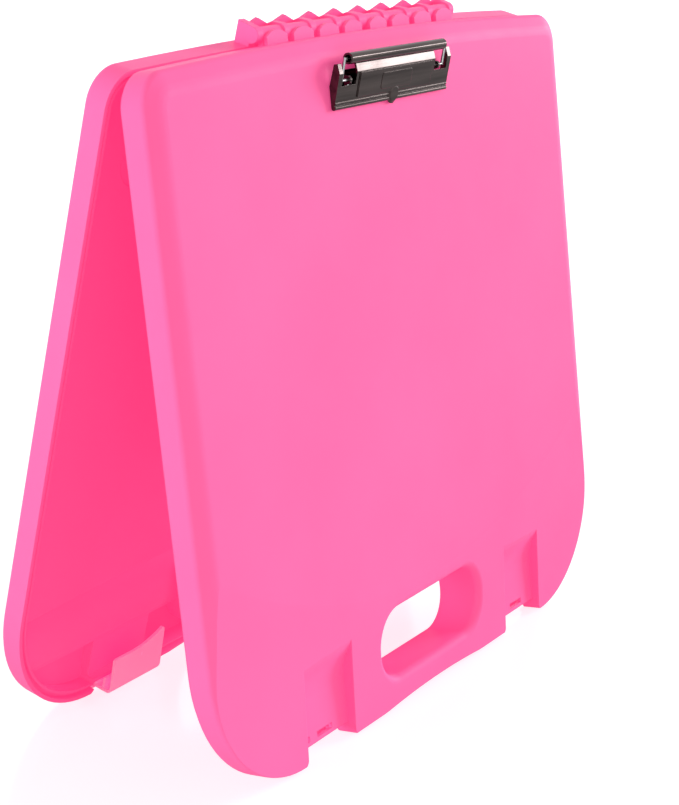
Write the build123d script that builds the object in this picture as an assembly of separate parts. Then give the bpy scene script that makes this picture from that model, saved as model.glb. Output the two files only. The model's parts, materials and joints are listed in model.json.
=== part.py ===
from build123d import *
import math
import os

# A moulded storage clipboard case standing open as an A-frame.
# Each half is drawn flat in its own frame: X across the case, Y up from the hinge axis,
# Z from the parting plane out to the outer face. Both halves then lean apart from one hinge axis.
# World frame: X along the hinge, the writing half towards -Y, Z up, origin on the floor under the hinge.

# Case
case_width = 394.0
case_length = 358.0
lean_deg = 10.2
shell_depth = 15.5
side_height = 11.8
margin_width = 9.5
wall = 2.2
floor_wall = 2.2
parting_gap = 0.3
top_drop = 4.6
top_arch = 5.5
top_corner_radius = 17.0
bottom_corner_radius = 70.0
side_edge_radius = 2.8
crease_radius = 16.0

# Rim: a tongue on the writing half drops into a groove on the storage half
groove_width = 2.3
groove_depth = 3.2
bead_width = 1.5
bead_setback = 1.1
tongue_thickness = 1.5
tongue_clearance = 0.35
tongue_height = 2.4
tongue_start_drop = 18.0
slope_start_foot = 62.0
slope_start_radius = 362.0
slope_fall = 0.055

# Handle opening
hole_width = 104.0
hole_height = 38.0
hole_corner_radius = 18.2
hole_foot = 35.0
hole_edge_radius = 4.0
tube_reach = 12.3
tube_clearance = 0.8
grip_arch = 3.0
grip_half_width = 60.0

# Latch bays on both halves
bay_inner = 82.0
bay_outer = 125.0
bay_floor_depth = 8.5
bay_start_foot = 59.0
bay_round_radius = 22.0
bay_hollow_radius = 26.0
bay_notch = 6.8
bay_corner_radius = 3.6
corner_overrun = 0.15

# Latches
latch_side_gap = 0.8
latch_pivot_rise = 3.4
latch_pivot_setback = 2.7
latch_bar_radius = 1.4
latch_bar_clearance = 0.08
latch_barrel_wall = 1.4
latch_sheet = 1.6
latch_tab_lean_deg = 3.2
latch_recess = 6.6
latch_level_start = 0.35
latch_tab_height = 28.0
latch_scallop_depth = 7.0
latch_horn_radius = 1.8
latch_corner_radius = 3.6
latch_foot_radius = 4.0
latch_relief = 0.4
hook_thickness = 1.3
hook_height = 5.4
hook_wall_gap = 0.5
narrow_hook_shift = -16.6
narrow_hook_width = 6.0
wide_hook_shift = 0.5
wide_hook_width = 12.5
slot_clearance = 0.6
window_height = 3.0
window_sill = 2.2

# Hinge
hinge_pitch = 23.0
hinge_cells = 8
knuckle_radius = 4.2
barrel_radius = 3.4
rod_radius = 1.6
rod_clearance = 0.08
rib_width = 4.6
knuckle_gap = 0.35
rod_fit = 0.02
rod_end_gap = 0.5
ear_skin = 1.6
centre_rib_width = 7.0
hinge_foot = 7.4
fairing_reach = 8.6
fairing_rise = 1.0
fairing_shoulder = 5.0
fairing_shoulder_rise = 3.6
ear_rise = 5.2
fin_clearance = 0.4
fin_thickness = 2.2
fin_peak = 5.4
fin_foot = -1.0
scale_reach = 5.6
scale_low = 1.6
scale_peak = 3.0

# Storage half interior
ramp_top_foot = 61.0
ridge_foot = 33.0
ridge_width = 2.0
ridge_back_run = 5.0
ridge_setback = 4.4
ramp_bulge_foot = 52.0
ramp_bulge_setback = 7.0
mark_radius = 13.0
mark_depth = 0.6
mark_spread = 148.0
mark_drop = 60.0

# Clip
clip_half_width = 55.0
clip_sheet = 1.0
clip_top_drop = 16.5
clip_lip_drop = 41.0
clip_roll_radius = 2.9
clip_roll_half = 46.5
clip_roll_rise = 7.2
clip_crest_rise = 6.6
clip_crest_drop = 23.5
clip_lip_radius = 1.2
clip_lip_gap = 0.3
clip_pivot_drop = 27.0
clip_pivot_rise = 4.0
clip_window_inner = 38.5
clip_window_outer = 51.6
clip_window_top = 14.0
clip_window_bottom = 29.5
clip_panel_half = 35.5
clip_panel_rise = 0.7
wire_radius = 0.85
wire_clearance = 0.06
wire_arm_offset = 49.6
base_sheet = 0.9
base_top_drop = 22.0
base_bottom_drop = 36.5
base_half_width = 46.0
ear_inner = 42.6
base_ear_sheet = 1.6
base_ear_radius = 2.1
rivet_spread = 39.0
rivet_drop = 30.6
rivet_shank_radius = 1.6
rivet_hole_clearance = 0.05
rivet_head_radius = 3.0
rivet_head_height = 1.3
burr_radius = 4.0
burr_thickness = 0.8
rivet_tail_height = 0.9
panel_width = 29.0
panel_height = 8.5
panel_depth = 0.3
lip_bump_radius = 5.2
lip_bump_rise = 1.5
lip_nub_radius = 2.0

half_gap = parting_gap / 2
lean = math.radians(lean_deg)
hinge_height = case_length * math.cos(lean) - half_gap * math.sin(lean)
bay_floor = shell_depth - bay_floor_depth
slope_start_drop = case_length - slope_start_foot
hole_drop = case_length - hole_foot
bay_start_drop = case_length - bay_start_foot
ramp_top_drop = case_length - ramp_top_foot
ramp_bulge_drop = case_length - ramp_bulge_foot
ridge_drop = case_length - ridge_foot
notch_drop = case_length - bay_notch
bay_centre = (bay_inner + bay_outer) / 2
bay_width = bay_outer - bay_inner
bevel_slope = (shell_depth - side_height) / margin_width
tongue_inset = wall + tongue_clearance
bead_inset = wall + groove_width
ledge_inset = bead_inset + bead_width
latch_pivot_drop = notch_drop + latch_pivot_setback
latch_barrel_radius = latch_bar_radius + latch_bar_clearance + latch_barrel_wall
rod_reach = hinge_cells * hinge_pitch / 2 + rib_width / 2 - ear_skin
clear = 30.0


def outline(inset=0.0):
    """Plan of the case: arched top, straight sides, large lower corners."""
    half = case_width / 2 - inset
    top = -(top_drop + inset)
    side_top = top - top_arch
    bottom = -(case_length - inset)
    with BuildSketch() as plan:
        with BuildLine():
            ThreePointArc((-half, side_top), (0, top), (half, side_top))
            Polyline((half, side_top), (half, bottom), (-half, bottom), (-half, side_top))
        make_face()
        fillet(plan.vertices().sort_by(Axis.Y)[:2], bottom_corner_radius - inset)
        fillet(plan.vertices().sort_by(Axis.Y)[-2:], top_corner_radius - inset)
    return plan.sketch


def slab(inset, low, high):
    return extrude(Pos(0, 0, low) * outline(inset), high - low)


def bevelled_slab(inset, low, side_top, high):
    """A slab whose raised face stands in from its sides by a sloping margin."""
    body = slab(inset, low, high)
    top = body.faces().sort_by(Axis.Z)[-1]
    rise = high - side_top
    return chamfer(top.edges(), rise / bevel_slope, rise, reference=top)


def edges_at(body, height, shortest=0.0):
    """Edges that lie flat at one height."""
    flat = [e for e in body.edges() if abs(e.bounding_box().size.Z) < 0.01]
    return [e for e in flat if abs(e.center().Z - height) < 0.01 and e.length > shortest]


def face_fall(lowering):
    """Cone that lets the face fall away gently below an arched crease."""
    reach = slope_start_radius + 4 * clear
    face = shell_depth - lowering
    with BuildSketch(Plane.XZ) as section:
        with BuildLine():
            Polyline(
                (slope_start_radius, face),
                (reach, face - 4 * clear * slope_fall),
                (reach, face + clear),
                (slope_start_radius, face + clear),
                close=True,
            )
        make_face()
    ring = revolve(section.sketch, Axis.Z)
    return Pos(0, slope_start_radius - slope_start_drop, 0) * ring


def case_outside():
    body = bevelled_slab(0.0, half_gap, side_height, shell_depth)
    body = fillet(edges_at(body, shell_depth), crease_radius)
    body = fillet(edges_at(body, side_height, 5.0), side_edge_radius)
    return body - face_fall(0.0)


def cut_outside():
    """The outside with both latch bays and the grip arch."""
    return case_outside() - both_sides(bay_space(0.0)) - grip_arch_cut(0.0)


def case_inside(inset):
    """The hollow of a half, with the face and margin left one wall thick."""
    high = shell_depth - floor_wall
    skin = wall * math.hypot(1.0, bevel_slope)
    side_top = side_height - skin + bevel_slope * inset
    hollow = bevelled_slab(inset, half_gap - clear, side_top, high)
    return hollow - face_fall(floor_wall)


def handle_prism(grow, low, high):
    plan = RectangleRounded(
        hole_width + 2 * grow, hole_height + 2 * grow, hole_corner_radius + grow
    )
    return extrude(Pos(0, -hole_drop, low) * plan, high - low)


def both_sides(shape):
    return shape + mirror(shape, Plane.YZ)


def bay_plan(grow):
    """Plan of one latch bay, flaring round at the case's bottom edge."""
    left = bay_inner - grow
    right = bay_outer + grow
    radius = bay_corner_radius - grow
    turn = -(case_length - bay_corner_radius + corner_overrun)
    low = turn - radius
    top = clear - bay_start_drop
    bottom = -(case_length + clear)
    slant = radius * (1 - math.sqrt(0.5))
    far_left = left - radius
    far_right = right + radius
    with BuildSketch() as plan:
        with BuildLine():
            Polyline((left, turn), (left, top), (right, top), (right, turn))
            ThreePointArc((right, turn), (right + slant, low + slant), (far_right, low))
            Polyline((far_right, low), (far_right, bottom), (far_left, bottom), (far_left, low))
            ThreePointArc((far_left, low), (left - slant, low + slant), (left, turn))
        make_face()
    return plan.sketch


def bay_space(grow):
    """One latch bay: an S-curved scoop in the outer face and a notch through the bottom edge."""
    floor = bay_floor - grow
    turn = math.acos(1 - bay_floor_depth / (bay_round_radius + bay_hollow_radius))
    round_radius = bay_round_radius - grow
    hollow_radius = bay_hollow_radius + grow
    lip = shell_depth - grow
    middle = (
        -bay_start_drop - round_radius * math.sin(turn),
        lip - round_radius * (1 - math.cos(turn)),
    )
    foot = (middle[0] - hollow_radius * math.sin(turn), floor)
    width = bay_width + 3 * bay_corner_radius
    bottom = -(case_length + clear)
    high = shell_depth + clear
    with BuildSketch() as section:
        with BuildLine():
            TangentArc((-bay_start_drop, lip), middle, tangent=(-1, 0))
            TangentArc(foot, middle, tangent=(1, 0))
            Polyline(foot, (bottom, floor), (bottom, high), (-bay_start_drop, high))
            Line((-bay_start_drop, high), (-bay_start_drop, lip))
        make_face()
    prism = extrude(Pos(0, 0, -2 * clear) * bay_plan(grow), 4 * clear)
    scoop = along_x(section.sketch, bay_centre, width) & prism
    below = Pos(bay_centre, -(notch_drop - grow), 0) * Box(
        width, 4 * clear, 4 * clear, align=(Align.CENTER, Align.MAX, Align.CENTER)
    )
    return scoop + (prism & below)


def grip_arch_cut(grow):
    """Shallow arch along the bottom edge under the grip."""
    radius = (grip_half_width**2 + grip_arch**2) / (2 * grip_arch) - grow
    return Pos(0, -(case_length - grip_arch + radius + grow), 0) * Cylinder(radius, 4 * clear)


def along_x(section, centre, width):
    """Extrude a section drawn on the YZ plane evenly about a place along the hinge."""
    return extrude(Plane.YZ.offset(centre - width / 2) * section, width)


def ring(outer_inset, inner_inset, low, high):
    return slab(outer_inset, low, high) - slab(inner_inset, low - 1, high + 1)


def rib_half(place):
    """Half the width of the rib at a place; the middle one is the widest."""
    return (centre_rib_width if abs(place) < 1 else rib_width) / 2


def cell_places():
    return [hinge_pitch * (index - (hinge_cells - 1) / 2) for index in range(hinge_cells)]


def rib_places():
    return [hinge_pitch * (index - hinge_cells / 2) for index in range(hinge_cells + 1)]


def barrel_section():
    """Slender barrel carried from the top wall by a hollow-curved web."""
    with BuildSketch() as section:
        Circle(barrel_radius)
        with BuildLine():
            Polyline((0, half_gap), (-hinge_foot, half_gap), (-hinge_foot, barrel_radius))
            Line((-hinge_foot, barrel_radius), (0, barrel_radius))
            Line((0, barrel_radius), (0, half_gap))
        make_face()
        Circle(rod_radius + rod_clearance, mode=Mode.SUBTRACT)
    return section.sketch


def front_scale(place, width):
    """Arched scale standing on the top wall in front of a barrel."""
    half = width / 2
    with BuildSketch(Plane.XY.offset(barrel_radius + knuckle_gap)) as front:
        with BuildLine():
            Polyline(
                (place - half, -scale_low),
                (place - half, -hinge_foot),
                (place + half, -hinge_foot),
                (place + half, -scale_low),
            )
            ThreePointArc(
                (place + half, -scale_low),
                (place, -scale_low + scale_peak),
                (place - half, -scale_low),
            )
        make_face()
    return extrude(front.sketch, scale_reach - barrel_radius - knuckle_gap)


def rib_section(at_end):
    """Rib profile, round at the front: the end ears rise to the rear, the others slope down."""
    if at_end:
        rear = [(ear_rise, fairing_reach)]
    else:
        rear = [(fairing_shoulder_rise, fairing_shoulder), (fairing_rise, fairing_reach)]
    foot = [(-hinge_foot, fairing_reach), (-hinge_foot, half_gap)]
    with BuildSketch() as section:
        Circle(knuckle_radius)
        with BuildLine():
            Polyline((0, half_gap), (knuckle_radius, half_gap), *rear, *foot, close=True)
        make_face()
    return section.sketch


def rear_fin(place):
    """Peaked fin between two ribs, just behind the barrel."""
    half = hinge_pitch / 2
    fin_near = math.hypot(scale_reach, scale_peak - scale_low) + fin_clearance
    with BuildSketch(Plane.XY.offset(fin_near)) as front:
        with BuildLine():
            Polyline(
                (place - half, -hinge_foot),
                (place - half, -fin_foot),
                (place, fin_peak),
                (place + half, -fin_foot),
                (place + half, -hinge_foot),
                close=True,
            )
        make_face()
    return extrude(front.sketch, fin_thickness)


def hook_spans(side):
    """Places and widths of one latch's hooks, seen from the front; both latches are alike."""
    shifts = ((narrow_hook_shift, narrow_hook_width), (wide_hook_shift, wide_hook_width))
    return [(side * bay_centre + shift, width) for shift, width in shifts]


def hole_rim(body):
    """Edges of the hand hole on the outer face."""
    half_x = hole_width / 2 + 0.1
    half_y = hole_height / 2 + 0.1
    return [
        e
        for e in body.edges()
        if e.bounding_box().min.Z > shell_depth / 2
        and max(abs(e.bounding_box().min.X), abs(e.bounding_box().max.X)) < half_x
        and abs(e.bounding_box().min.Y + hole_drop) < half_y
        and abs(e.bounding_box().max.Y + hole_drop) < half_y
    ]


def make_writing_half():
    outside = cut_outside() - handle_prism(0.0, -clear, 2 * clear)
    outside = fillet(hole_rim(outside), hole_edge_radius)
    hollow = case_inside(tongue_inset + tongue_thickness) - handle_prism(wall, -clear, 2 * clear)
    hollow = hollow - both_sides(bay_space(wall)) - grip_arch_cut(wall)
    body = outside - hollow

    # Tongue round the rim, left out at the hinge and across the latch notches
    tongue = ring(tongue_inset, tongue_inset + tongue_thickness, -tongue_height, half_gap + 1)
    tongue -= Pos(0, -tongue_start_drop, 0) * Box(
        case_width, clear, clear, align=(Align.CENTER, Align.MIN, Align.CENTER)
    )
    notch = Pos(0, -notch_drop + wall, 0) * Box(
        2 * (bay_outer + wall), clear, clear, align=(Align.CENTER, Align.MAX, Align.CENTER)
    )
    body += tongue - notch

    # Collar round the hand hole
    collar = handle_prism(wall, -tube_reach, half_gap + 1) - handle_prism(0.0, -clear, clear)
    body += collar

    # Windows and slots that take the latch hooks
    fin_outer = bay_floor - wall - hook_wall_gap
    for place, width in hook_spans(-1) + hook_spans(1):
        wide = width + 2 * slot_clearance
        slot = Pos(place, -notch_drop - 1, fin_outer + slot_clearance) * Box(
            wide,
            wall + 2,
            hook_thickness + 2 * slot_clearance,
            align=(Align.CENTER, Align.MIN, Align.MAX),
        )
        window = Pos(place, -notch_drop + window_sill, bay_floor) * Box(
            wide, window_height, 3 * wall, align=(Align.CENTER, Align.MIN, Align.CENTER)
        )
        body = body - slot - window

    for place in cell_places():
        low = place - hinge_pitch / 2 + rib_half(place - hinge_pitch / 2) + knuckle_gap
        high = place + hinge_pitch / 2 - rib_half(place + hinge_pitch / 2) - knuckle_gap
        body += along_x(barrel_section(), (low + high) / 2, high - low)
        body += front_scale((low + high) / 2, high - low)
    for side in (-1, 1):
        hole = Pos(side * rivet_spread, -rivet_drop, shell_depth)
        body -= hole * Cylinder(rivet_shank_radius + rivet_hole_clearance, 4 * floor_wall)
    return body


def make_storage_half():
    outside = cut_outside()
    hollow = case_inside(ledge_inset)
    hollow = hollow - both_sides(bay_space(wall)) - grip_arch_cut(wall)
    well_grow = wall + tube_clearance
    hollow -= handle_prism(well_grow + wall, half_gap + bead_setback, 2 * clear)
    body = outside - hollow - handle_prism(well_grow, -clear, 2 * clear)

    # Groove for the tongue, and the bead inside it set a little lower than the lip
    groove = ring(wall, bead_inset, half_gap - 1, half_gap + groove_depth)
    bead_drop = ring(wall, ledge_inset + 1, half_gap - 1, half_gap + bead_setback)
    body = body - groove - bead_drop

    # Sloping wall of the pen tray along the bottom
    floor = shell_depth - floor_wall / 2
    with BuildSketch() as ramp:
        with BuildLine():
            ThreePointArc(
                (-ramp_top_drop, floor),
                (-ramp_bulge_drop, ramp_bulge_setback),
                (-ridge_drop, ridge_setback),
            )
            Polyline(
                (-ridge_drop, ridge_setback),
                (-(ridge_drop + ridge_width), ridge_setback),
                (-(ridge_drop + ridge_width + ridge_back_run), floor),
                (-ramp_top_drop, floor),
            )
        make_face()
    ridge = along_x(ramp.sketch, 0, case_width - 2 * wall)
    ridge = ridge & case_inside(ledge_inset - wall / 2)
    ridge = ridge - both_sides(bay_space(wall / 2)) - handle_prism(well_grow + wall / 2, -clear, 2 * clear)
    body += ridge

    # Hinge ribs and the peaked fins between them
    ribs = rib_places()
    for place in ribs:
        at_end = place in (ribs[0], ribs[-1])
        body += along_x(rib_section(at_end), place, 2 * rib_half(place))
    for place in cell_places():
        body += rear_fin(place)
    body -= Rot(0, 90, 0) * Cylinder(rod_radius + rod_fit, 2 * rod_reach)

    # Pivot bars across the latch notches
    for side in (-1, 1):
        pivot = Pos(side * bay_centre, -latch_pivot_drop, latch_pivot_rise) * Rot(0, 90, 0)
        body -= pivot * Cylinder(latch_barrel_radius + latch_relief, bay_width)
        body += pivot * Cylinder(latch_bar_radius, bay_width + 2 * wall)

    # Shallow round mark in the floor
    for side in (-1, 1):
        body -= Pos(side * mark_spread, -mark_drop, shell_depth - floor_wall) * Cylinder(
            mark_radius, 2 * mark_depth
        )
    return body


def latch_section():
    """Latch seen from its end: barrel, leg and a finger tab that leans in a little."""
    leg_low = -(latch_pivot_drop + latch_sheet / 2)
    tab_near = -(bay_floor + bay_floor_depth - latch_recess)
    tab_far = tab_near - latch_sheet
    lean_in = latch_tab_height * math.tan(math.radians(latch_tab_lean_deg))
    with BuildSketch() as section:
        with BuildLine():
            Polyline(
                (leg_low, latch_pivot_rise),
                (leg_low, tab_far),
                (leg_low + latch_tab_height, tab_far + lean_in),
                (leg_low + latch_tab_height, tab_near + lean_in),
                (leg_low + latch_sheet, tab_near),
                (leg_low + latch_sheet, latch_pivot_rise),
                close=True,
            )
        make_face()
        corner = section.vertices().sort_by_distance((leg_low, tab_far))[0]
        fillet(corner, latch_corner_radius)
        corner = section.vertices().sort_by_distance((leg_low + latch_sheet, tab_near))[0]
        fillet(corner, latch_corner_radius - latch_sheet)
        with Locations((-latch_pivot_drop, latch_pivot_rise)):
            Circle(latch_barrel_radius)
            Circle(latch_bar_radius + latch_bar_clearance, mode=Mode.SUBTRACT)
    return section.sketch


def tab_shape(side):
    """Front of the finger tab: level top on one side, a horn and a rounded foot on the other."""
    half = bay_width / 2 - latch_side_gap
    middle = side * bay_centre
    foot = -(latch_pivot_drop + latch_sheet / 2)
    level = foot + latch_tab_height - latch_scallop_depth
    with BuildSketch() as front:
        with BuildLine():
            Polyline(
                (middle - half, level + latch_scallop_depth),
                (middle - half, foot),
                (middle + half, foot),
                (middle + half, level),
                (middle + half * latch_level_start, level),
            )
            TangentArc(
                (middle + half * latch_level_start, level),
                (middle - half, level + latch_scallop_depth),
                tangent=(-1, 0),
            )
        make_face()
        horn = front.vertices().sort_by_distance((middle - half, level + latch_scallop_depth))[0]
        fillet(horn, latch_horn_radius)
        level_corner = front.vertices().sort_by_distance((middle + half, level))[0]
        fillet(level_corner, latch_horn_radius)
        round_foot = front.vertices().sort_by_distance((middle - half, foot))[0]
        fillet(round_foot, latch_foot_radius)
    return front.sketch


def make_latch(side):
    """Latch with its barrel on the pivot bar, its hooks and a finger tab."""
    width = bay_width - 2 * latch_side_gap
    body = along_x(latch_section(), side * bay_centre, width)
    tab_zone = -(bay_floor + bay_floor_depth - latch_recess) + latch_corner_radius
    trim = Pos(0, 0, tab_zone) * Box(
        2 * case_width, 4 * case_length, 2 * clear, align=(Align.CENTER, Align.CENTER, Align.MAX)
    )
    body -= trim - extrude(Pos(0, 0, -3 * clear) * tab_shape(side), 4 * clear)

    leg_middle = -latch_pivot_drop
    fin_outer = -(bay_floor - wall - hook_wall_gap)
    for place, hook_width in hook_spans(-side):
        hook = Pos(-place, leg_middle, fin_outer) * Box(
            hook_width,
            latch_sheet / 2 + hook_height,
            hook_thickness,
            align=(Align.CENTER, Align.MIN, Align.MIN),
        )
        body += hook
    return body


def make_hinge_rod(side):
    length = rod_reach - 2 * rod_end_gap
    rod = Pos(side * (rod_end_gap + length / 2), 0, 0) * Rot(0, 90, 0) * Cylinder(rod_radius, length)
    return chamfer(rod.edges().filter_by(GeomType.CIRCLE), 0.4)


def on_face(drop, rise):
    return (-drop, shell_depth + rise)


def make_clip_base():
    body = Pos(0, -base_top_drop, shell_depth) * Box(
        2 * base_half_width,
        base_bottom_drop - base_top_drop,
        base_sheet,
        align=(Align.CENTER, Align.MAX, Align.MIN),
    )
    body = fillet(body.edges().filter_by(Axis.Z), 2.0)
    with BuildSketch() as ear:
        with BuildLine():
            Polyline(
                on_face(clip_pivot_drop - base_ear_radius, clip_pivot_rise),
                on_face(clip_pivot_drop - base_ear_radius - 1.2, base_sheet / 2),
                on_face(clip_pivot_drop + base_ear_radius + 1.2, base_sheet / 2),
                on_face(clip_pivot_drop + base_ear_radius, clip_pivot_rise),
                close=True,
            )
        make_face()
        with Locations(on_face(clip_pivot_drop, clip_pivot_rise)):
            Circle(base_ear_radius)
            Circle(wire_radius + wire_clearance, mode=Mode.SUBTRACT)
    for side in (-1, 1):
        body += along_x(ear.sketch, side * (ear_inner + base_ear_sheet / 2), base_ear_sheet)
        hole = Pos(side * rivet_spread, -rivet_drop, shell_depth)
        body -= hole * Cylinder(rivet_shank_radius + rivet_hole_clearance, 4 * base_sheet)
    return body


def make_clip_jaw():
    """Pressed jaw: rolled top bar, sloping plate, double rolled lip and boxed ends."""
    roll = on_face(clip_top_drop, clip_roll_rise)
    crest = on_face(clip_crest_drop, clip_crest_rise)
    lip = on_face(clip_lip_drop - clip_lip_radius, clip_lip_gap + clip_lip_radius)
    slope = (crest[1] - lip[1]) / (crest[0] - lip[0])
    bead = (lip[0] + 2.2, lip[1] + 2.2 * slope)
    panel_low = (lip[0] + 3.6, lip[1] + 3.6 * slope + clip_panel_rise)
    panel_high = (crest[0] - 0.6, crest[1] - 0.6 * slope + clip_panel_rise)
    with BuildSketch() as raised:
        with BuildLine():
            Polyline(panel_high, panel_low)
        trace(line_width=clip_sheet)
    with BuildSketch() as sheet:
        with BuildLine():
            Polyline((roll[0] - 2.0, roll[1] - 1.4), crest, lip)
        trace(line_width=clip_sheet)
        with Locations(lip):
            Circle(clip_lip_radius)
        with Locations(bead):
            Circle(clip_sheet * 0.8)
    body = along_x(sheet.sketch, 0, 2 * clip_half_width)
    with BuildSketch() as tube:
        with Locations(roll):
            Circle(clip_roll_radius)
            Circle(clip_roll_radius - clip_sheet, mode=Mode.SUBTRACT)
    body += along_x(tube.sketch, 0, 2 * clip_roll_half)
    body += along_x(raised.sketch, 0, 2 * clip_panel_half)

    # Boxed ends, their lower edges rising towards the top so that the jaw can tip
    with BuildSketch() as end:
        with BuildLine():
            Polyline(
                (roll[0] - 2.0, roll[1] - 1.4),
                crest,
                lip,
                on_face(clip_lip_drop - clip_lip_radius, clip_lip_gap),
                on_face(clip_pivot_drop + 2.0, clip_lip_gap),
                on_face(clip_top_drop + 2.0, clip_roll_rise - 3.0),
                close=True,
            )
        make_face()
    for side in (-1, 1):
        body += along_x(end.sketch, side * (clip_half_width - clip_sheet / 2), clip_sheet)
        middle = (clip_window_inner + clip_window_outer) / 2
        window = Pos(side * middle, -clip_window_top, shell_depth + 2 * clip_sheet) * Box(
            clip_window_outer - clip_window_inner,
            clip_window_bottom - clip_window_top,
            clear,
            align=(Align.CENTER, Align.MAX, Align.MIN),
        )
        body -= window - along_x(Pos(roll[0], roll[1]) * Circle(clip_roll_radius), 0, 2 * clip_roll_half)
    # Bare raised panel, thumb bump and nub, square to the sloping plate
    tilt = math.degrees(math.atan2(crest[1] - lip[1], crest[0] - lip[0]))
    middle = Pos(0, (panel_high[0] + panel_low[0]) / 2, (panel_high[1] + panel_low[1]) / 2)
    badge = extrude(RectangleRounded(panel_width, panel_height, 1.4), clip_sheet / 2 + panel_depth)
    body += middle * Rot(tilt, 0, 0) * badge
    bump = Cylinder(lip_bump_radius, lip_bump_rise, align=(Align.CENTER, Align.CENTER, Align.MIN))
    bump = chamfer(bump.edges().sort_by(Axis.Z)[-1], lip_bump_rise * 0.6, lip_bump_rise)
    body += Pos(0, bead[0], bead[1]) * Rot(tilt, 0, 0) * bump
    nub = Pos(0, lip[0] - lip_nub_radius / 2, shell_depth + clip_lip_gap + 0.2) * Cylinder(
        lip_nub_radius, 1.2, align=(Align.CENTER, Align.CENTER, Align.MIN)
    )
    return body + nub


def make_clip_wire():
    """Spring wire through the rolled bar, its ends turned in to pivot in the base ears."""
    pivot = on_face(clip_pivot_drop, clip_pivot_rise)
    roll = on_face(clip_top_drop, clip_roll_rise)
    tip = ear_inner - 1.5
    corners = [
        (-tip, *pivot),
        (-wire_arm_offset, *pivot),
        (-wire_arm_offset, *roll),
        (wire_arm_offset, *roll),
        (wire_arm_offset, *pivot),
        (tip, *pivot),
    ]
    path = Polyline(*corners)
    start = Plane(origin=corners[0], z_dir=(-1, 0, 0))
    return sweep(start * Circle(wire_radius), path, transition=Transition.RIGHT)


def make_rivet(side):
    """Rivet with a low bevelled head and a rolled-over tail."""
    grip = floor_wall + base_sheet + burr_thickness
    head = Cylinder(
        rivet_head_radius, rivet_head_height, align=(Align.CENTER, Align.CENTER, Align.MIN)
    )
    head = chamfer(head.edges().sort_by(Axis.Z)[-1], rivet_head_height * 0.7, rivet_head_height)
    shank = Cylinder(rivet_shank_radius, grip, align=(Align.CENTER, Align.CENTER, Align.MAX))
    tail = Cylinder(
        rivet_shank_radius + 0.6, rivet_tail_height, align=(Align.CENTER, Align.CENTER, Align.MAX)
    )
    tail = Pos(0, 0, -grip) * chamfer(tail.edges().sort_by(Axis.Z)[0], rivet_tail_height * 0.5)
    return Pos(side * rivet_spread, -rivet_drop, shell_depth + base_sheet) * (head + shank + tail)


def make_burr(side):
    top = shell_depth - floor_wall
    plate = Cylinder(burr_radius, burr_thickness, align=(Align.CENTER, Align.CENTER, Align.MAX))
    hole = Cylinder(rivet_shank_radius + rivet_hole_clearance, 4 * burr_thickness)
    return Pos(side * rivet_spread, -rivet_drop, top) * (plate - hole)


def main():
    os.makedirs("parts", exist_ok=True)
    front = Plane(
        origin=(0, 0, hinge_height), x_dir=(1, 0, 0), z_dir=(0, -math.cos(lean), math.sin(lean))
    )
    back = Plane(
        origin=(0, 0, hinge_height), x_dir=(-1, 0, 0), z_dir=(0, math.cos(lean), math.sin(lean))
    )
    nodes = {
        "lid_shell": (front, make_writing_half()),
        "back_shell": (back, make_storage_half()),
        "hinge_rod_left": (back, make_hinge_rod(1)),
        "hinge_rod_right": (back, make_hinge_rod(-1)),
        "latch_left": (back, make_latch(1)),
        "latch_right": (back, make_latch(-1)),
        "clip_base_plate": (front, make_clip_base()),
        "clip_jaw": (front, make_clip_jaw()),
        "clip_spring_wire": (front, make_clip_wire()),
        "clip_rivet_left": (front, make_rivet(-1)),
        "clip_rivet_right": (front, make_rivet(1)),
        "clip_burr_left": (front, make_burr(-1)),
        "clip_burr_right": (front, make_burr(1)),
    }
    for name, (frame, shape) in nodes.items():
        placed = frame.location * shape
        placed.label = name
        export_step(placed, os.path.join("parts", name + ".step"))


if __name__ == "__main__":
    main()
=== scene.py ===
import json
import math

import bpy
from mathutils import Matrix, Vector

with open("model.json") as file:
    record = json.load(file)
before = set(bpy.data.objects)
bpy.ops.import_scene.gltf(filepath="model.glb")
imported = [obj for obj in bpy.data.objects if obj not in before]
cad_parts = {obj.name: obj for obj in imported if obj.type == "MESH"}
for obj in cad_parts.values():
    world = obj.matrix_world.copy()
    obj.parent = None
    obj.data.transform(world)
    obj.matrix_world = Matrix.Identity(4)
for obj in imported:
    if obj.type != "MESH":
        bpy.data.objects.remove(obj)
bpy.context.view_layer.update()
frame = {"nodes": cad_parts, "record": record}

# The case as photographed, in metres
LEAN = math.radians(10.2)
CASE_LENGTH = 0.358
PARTING_GAP = 0.00015
HINGE = Vector((0.0, 0.0, CASE_LENGTH * math.cos(LEAN) - PARTING_GAP * math.sin(LEAN)))

# The camera, fitted to the photo's edges: pixels, millimetres of sensor, metres and radians
FOCAL_PIXELS = 1967.0
FRAME_HEIGHT = 805
SENSOR = 36.0
CAMERA_FROM_HINGE = Vector((-0.8698, -0.5401, 0.1179))
CAMERA_YAW = 1.0174
CAMERA_PITCH = 0.3063
CAMERA_ROLL = 0.0559

# Plastic. A noise is its scale per metre, detail and roughness, and bump depths are in metres
FLOW_NOISE = (9.0, 4.0, 0.5)
RUBBED_NOISE = (38.0, 5.0, 0.6)
RUBBED_LOW, RUBBED_HIGH = -0.04, 0.06
GRAIN_NOISE = (1500.0, 2.0, 0.5)
GRAIN_DEPTH = 0.00012
WAVE_NOISE = (14.0, 2.0, 0.4)
WAVE_STRENGTH = 0.10
WAVE_DEPTH = 0.0012
PLASTIC_IOR = 1.49
# Painted light: the plastic glows a little red by emission, which lifts its shaded parts, the
# inside of the case most
PAINTED_GLOW_COLOUR = (1.0, 0.06, 0.28)
SCATTER_RADIUS = (1.0, 0.35, 0.45)
SCATTER_SCALE = 0.003

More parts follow.
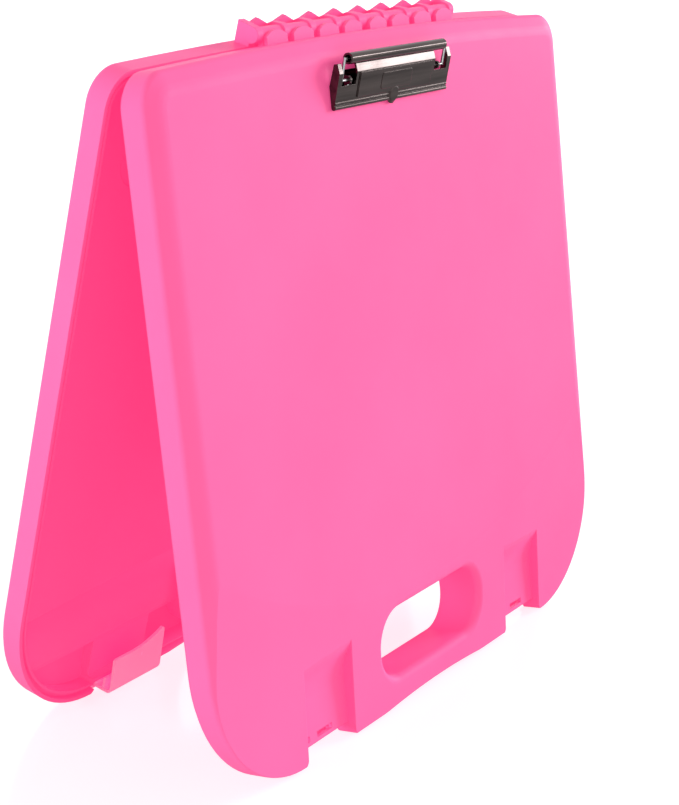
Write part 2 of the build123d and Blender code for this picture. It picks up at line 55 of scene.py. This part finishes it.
# Metal: streaks are drawn out along X
STREAK_NOISE = (260.0, 4.0, 0.6)
STREAK_STRETCH = (0.06, 1.0, 1.0)
STREAK_DEPTH = 0.00006
CLOUD_NOISE = (90.0, 4.0, 0.6)
CLOUD_LOW, CLOUD_HIGH = -0.03, 0.07

# The part of a noise's range that remap uses
NOISE_LOW, NOISE_HIGH = 0.3, 0.7
BEVEL_SAMPLES = 6

# Floor and world
FLOOR_SIZE = 12.0
FLOOR_GREY = (0.5, 0.5, 0.5, 1.0)
FLOOR_ROUGHNESS = 0.14
FLOOR_SHINE = 0.5
FLOOR_GLOW = 0.74
BOUNCE_GREY = (0.8, 0.8, 0.8, 1.0)
WHITE = (1.0, 1.0, 1.0, 1.0)
AMBIENT = 0.4
SEEN_STRENGTH = 1.0


def node_tree(name):
    """A new material with its node tree and its Principled shader."""
    material = bpy.data.materials.new(name)
    material.use_nodes = True
    tree = material.node_tree
    shader = tree.nodes["Principled BSDF"]
    return material, tree, shader


def noise(tree, coords, settings, stretch=None):
    """Noise from 0 to 1, stretched along the axes if asked."""
    scale, detail, rough = settings
    source = coords
    if stretch is not None:
        mapping = tree.nodes.new("ShaderNodeMapping")
        mapping.inputs["Scale"].default_value = stretch
        tree.links.new(coords, mapping.inputs["Vector"])
        source = mapping.outputs["Vector"]
    node = tree.nodes.new("ShaderNodeTexNoise")
    node.inputs["Scale"].default_value = scale
    node.inputs["Detail"].default_value = detail
    node.inputs["Roughness"].default_value = rough
    tree.links.new(source, node.inputs["Vector"])
    return node.outputs["Fac"]


def remap(tree, value, low, high, from_low=NOISE_LOW, from_high=NOISE_HIGH):
    """The value's range, by default the middle of a noise, mapped to low and high."""
    node = tree.nodes.new("ShaderNodeMapRange")
    node.inputs["From Min"].default_value = from_low
    node.inputs["From Max"].default_value = from_high
    node.inputs["To Min"].default_value = low
    node.inputs["To Max"].default_value = high
    tree.links.new(value, node.inputs["Value"])
    return node.outputs["Result"]


def colour_between(tree, value, first, second):
    node = tree.nodes.new("ShaderNodeMix")
    node.data_type = "RGBA"
    node.inputs["A"].default_value = (*first, 1.0)
    node.inputs["B"].default_value = (*second, 1.0)
    tree.links.new(value, node.inputs["Factor"])
    return node.outputs["Result"]


def bump(tree, height, strength, distance, normal):
    node = tree.nodes.new("ShaderNodeBump")
    node.inputs["Strength"].default_value = strength
    node.inputs["Distance"].default_value = distance
    tree.links.new(height, node.inputs["Height"])
    tree.links.new(normal, node.inputs["Normal"])
    return node.outputs["Normal"]


def soft_edges(tree, radius):
    """A normal that rounds the edges by a radius in metres."""
    node = tree.nodes.new("ShaderNodeBevel")
    node.samples = BEVEL_SAMPLES
    node.inputs["Radius"].default_value = radius
    return node.outputs["Normal"]


def moulded_plastic(
    name, light, deep, roughness, grain, edge_radius, specular, painted_glow, subsurface=0.0
):
    """Moulded plastic: faint flow marks in the colour, fine moulded grain, rubbed patches and a
    painted glow that lifts its shaded parts.
    """
    material, tree, shader = node_tree(name)
    coords = tree.nodes.new("ShaderNodeTexCoord").outputs["Object"]
    flow = noise(tree, coords, FLOW_NOISE)
    colour = colour_between(tree, remap(tree, flow, 0.0, 1.0), light, deep)
    tree.links.new(colour, shader.inputs["Base Color"])
    rubbed = noise(tree, coords, RUBBED_NOISE)
    worn = remap(tree, rubbed, roughness + RUBBED_LOW, roughness + RUBBED_HIGH)
    tree.links.new(worn, shader.inputs["Roughness"])
    fine = noise(tree, coords, GRAIN_NOISE)
    wavy = noise(tree, coords, WAVE_NOISE)
    rounded = soft_edges(tree, edge_radius)
    wavy_normal = bump(tree, wavy, WAVE_STRENGTH, WAVE_DEPTH, rounded)
    grained = bump(tree, fine, grain, GRAIN_DEPTH, wavy_normal)
    tree.links.new(grained, shader.inputs["Normal"])
    shader.inputs["Specular IOR Level"].default_value = specular
    shader.inputs["IOR"].default_value = PLASTIC_IOR
    # Painted light: a red emission glow that lifts the plastic's shaded parts
    shader.inputs["Emission Color"].default_value = (*PAINTED_GLOW_COLOUR, 1.0)
    shader.inputs["Emission Strength"].default_value = painted_glow
    if subsurface:
        shader.inputs["Subsurface Weight"].default_value = subsurface
        shader.inputs["Subsurface Radius"].default_value = SCATTER_RADIUS
        shader.inputs["Subsurface Scale"].default_value = SCATTER_SCALE
    return material


def bright_metal(name, light, dark, roughness, streak, edge_radius):
    """Plated or drawn metal: rolling streaks along X, cloudy polish and softly rounded edges."""
    material, tree, shader = node_tree(name)
    coords = tree.nodes.new("ShaderNodeTexCoord").outputs["Object"]
    streaks = noise(tree, coords, STREAK_NOISE, stretch=STREAK_STRETCH)
    colour = colour_between(tree, remap(tree, streaks, 0.0, 1.0), light, dark)
    tree.links.new(colour, shader.inputs["Base Color"])
    cloud = noise(tree, coords, CLOUD_NOISE)
    polish = remap(tree, cloud, roughness + CLOUD_LOW, roughness + CLOUD_HIGH)
    tree.links.new(polish, shader.inputs["Roughness"])
    rounded = soft_edges(tree, edge_radius)
    tree.links.new(bump(tree, streaks, streak, STREAK_DEPTH, rounded), shader.inputs["Normal"])
    shader.inputs["Metallic"].default_value = 1.0
    return material


by_slot = {
    "case_plastic": moulded_plastic(
        "case_plastic",
        light=(1.0, 0.175, 0.41),
        deep=(1.0, 0.155, 0.375),
        roughness=0.4,
        grain=0.22,
        edge_radius=0.0006,
        specular=0.12,
        # painted light: an emission glow that lifts the shaded inside of the case
        painted_glow=0.33,
    ),
    "latch_plastic": moulded_plastic(
        "latch_plastic",
        light=(1.0, 0.72, 0.75),
        deep=(1.0, 0.66, 0.70),
        roughness=0.22,
        grain=0.06,
        edge_radius=0.0003,
        specular=0.5,
        # painted light: an emission glow that makes the latch paler
        painted_glow=0.42,
        subsurface=0.1,
    ),
    "clip_metal": bright_metal(
        "clip_metal",
        light=(0.115, 0.09, 0.087),
        dark=(0.05, 0.038, 0.037),
        roughness=0.07,
        streak=0.12,
        edge_radius=0.0003,
    ),
    "wire_metal": bright_metal(
        "wire_metal",
        light=(0.52, 0.52, 0.53),
        dark=(0.38, 0.38, 0.39),
        roughness=0.2,
        streak=0.3,
        edge_radius=0.0002,
    ),
    "rod_metal": bright_metal(
        "rod_metal",
        light=(0.5, 0.5, 0.51),
        dark=(0.4, 0.4, 0.41),
        roughness=0.3,
        streak=0.35,
        edge_radius=0.0002,
    ),
    "rivet_metal": bright_metal(
        "rivet_metal",
        light=(0.75, 0.75, 0.76),
        dark=(0.62, 0.62, 0.63),
        roughness=0.28,
        streak=0.15,
        edge_radius=0.0003,
    ),
}
for part in frame["record"]["subparts"]:
    piece = frame["nodes"][part["node"]]
    piece.data.materials.clear()
    piece.data.materials.append(by_slot[part["material_slot"]])

# Floor: white and slightly glossy to the camera, plain and pale to the light that it gives back
bpy.ops.mesh.primitive_plane_add(size=FLOOR_SIZE, location=(0.0, 0.0, 0.0))
floor = bpy.context.object
floor.name = "floor"
floor_material, floor_tree, floor_shader = node_tree("floor_white")
floor_shader.inputs["Base Color"].default_value = FLOOR_GREY
floor_shader.inputs["Roughness"].default_value = FLOOR_ROUGHNESS
floor_shader.inputs["Specular IOR Level"].default_value = FLOOR_SHINE
floor_shader.inputs["Emission Color"].default_value = WHITE
floor_shader.inputs["Emission Strength"].default_value = FLOOR_GLOW
bounce = floor_tree.nodes.new("ShaderNodeBsdfDiffuse")
bounce.inputs["Color"].default_value = BOUNCE_GREY
seen = floor_tree.nodes.new("ShaderNodeMixShader")
floor_path = floor_tree.nodes.new("ShaderNodeLightPath")
floor_output = floor_tree.nodes["Material Output"]
floor_tree.links.new(floor_path.outputs["Is Camera Ray"], seen.inputs["Fac"])
floor_tree.links.new(bounce.outputs["BSDF"], seen.inputs[1])
floor_tree.links.new(floor_shader.outputs["BSDF"], seen.inputs[2])
floor_tree.links.new(seen.outputs["Shader"], floor_output.inputs["Surface"])
floor.data.materials.append(floor_material)

# World: white where it is seen, reflected or seen through, and dimmer as a light
world = bpy.data.worlds.new("studio")
bpy.context.scene.world = world
world.use_nodes = True
sky = world.node_tree
background = sky.nodes["Background"]
background.inputs["Color"].default_value = WHITE
path = sky.nodes.new("ShaderNodeLightPath")
any_seen = path.outputs["Is Camera Ray"]
for ray in ("Is Glossy Ray", "Is Transmission Ray"):
    either = sky.nodes.new("ShaderNodeMath")
    either.operation = "MAXIMUM"
    sky.links.new(any_seen, either.inputs[0])
    sky.links.new(path.outputs[ray], either.inputs[1])
    any_seen = either.outputs["Value"]
strength = remap(sky, any_seen, AMBIENT, SEEN_STRENGTH, from_low=0.0, from_high=1.0)
sky.links.new(strength, background.inputs["Strength"])


def area_light(name, place, target, size, power, mirrored=True, lights_matt=True):
    """A rectangular lamp in metres and watts, unseen by the camera."""
    data = bpy.data.lights.new(name, "AREA")
    data.shape = "RECTANGLE"
    data.size, data.size_y = size
    data.energy = power
    lamp = bpy.data.objects.new(name, data)
    bpy.context.scene.collection.objects.link(lamp)
    lamp.location = place
    lamp.visible_camera = False
    lamp.visible_glossy = mirrored
    lamp.visible_diffuse = lights_matt
    aim = Vector(target) - Vector(place)
    lamp.rotation_euler = aim.to_track_quat("-Z", "Y").to_euler()


area_light(
    "key",
    place=(7.0, -2.9, 2.1),
    target=(0.0, 0.0, 0.17),
    size=(3.0, 3.0),
    power=525.0,
    mirrored=False,
)
area_light(
    "front", place=(-0.4, -0.8, 0.08), target=(-0.05, 0.0, 0.12), size=(0.5, 0.2), power=0.5
)
area_light(
    "fill", place=(-1.35, -1.05, 0.25), target=(-0.05, 0.0, 0.15), size=(0.7, 0.4), power=1.8
)
# A thin highlight on the clip and the rims
area_light(
    "strip",
    place=(3.5, -1.45, 1.05),
    target=(0.0, 0.0, 0.3),
    size=(2.4, 0.35),
    power=27.0,
    lights_matt=False,
)
area_light(
    "side",
    place=(-2.1, 0.9, 0.55),
    target=(0.0, 0.0, 0.15),
    size=(1.4, 0.9),
    power=27.0,
    mirrored=False,
)

# Camera
forward = Vector(
    (
        math.sin(CAMERA_YAW) * math.cos(CAMERA_PITCH),
        math.cos(CAMERA_YAW) * math.cos(CAMERA_PITCH),
        -math.sin(CAMERA_PITCH),
    )
)
level = Vector((math.cos(CAMERA_YAW), -math.sin(CAMERA_YAW), 0.0))
upward = level.cross(forward)
right = level * math.cos(CAMERA_ROLL) + upward * math.sin(CAMERA_ROLL)
up = upward * math.cos(CAMERA_ROLL) - level * math.sin(CAMERA_ROLL)
camera_data = bpy.data.cameras.new("camera")
camera_data.sensor_width = SENSOR
camera_data.lens = FOCAL_PIXELS * SENSOR / FRAME_HEIGHT
camera = bpy.data.objects.new("camera", camera_data)
bpy.context.scene.collection.objects.link(camera)
turn = Matrix((right, up, -forward)).transposed().to_4x4()
camera.matrix_world = Matrix.Translation(HINGE + CAMERA_FROM_HINGE) @ turn
bpy.context.scene.camera = camera
bpy.context.scene.view_settings.view_transform = "Standard"
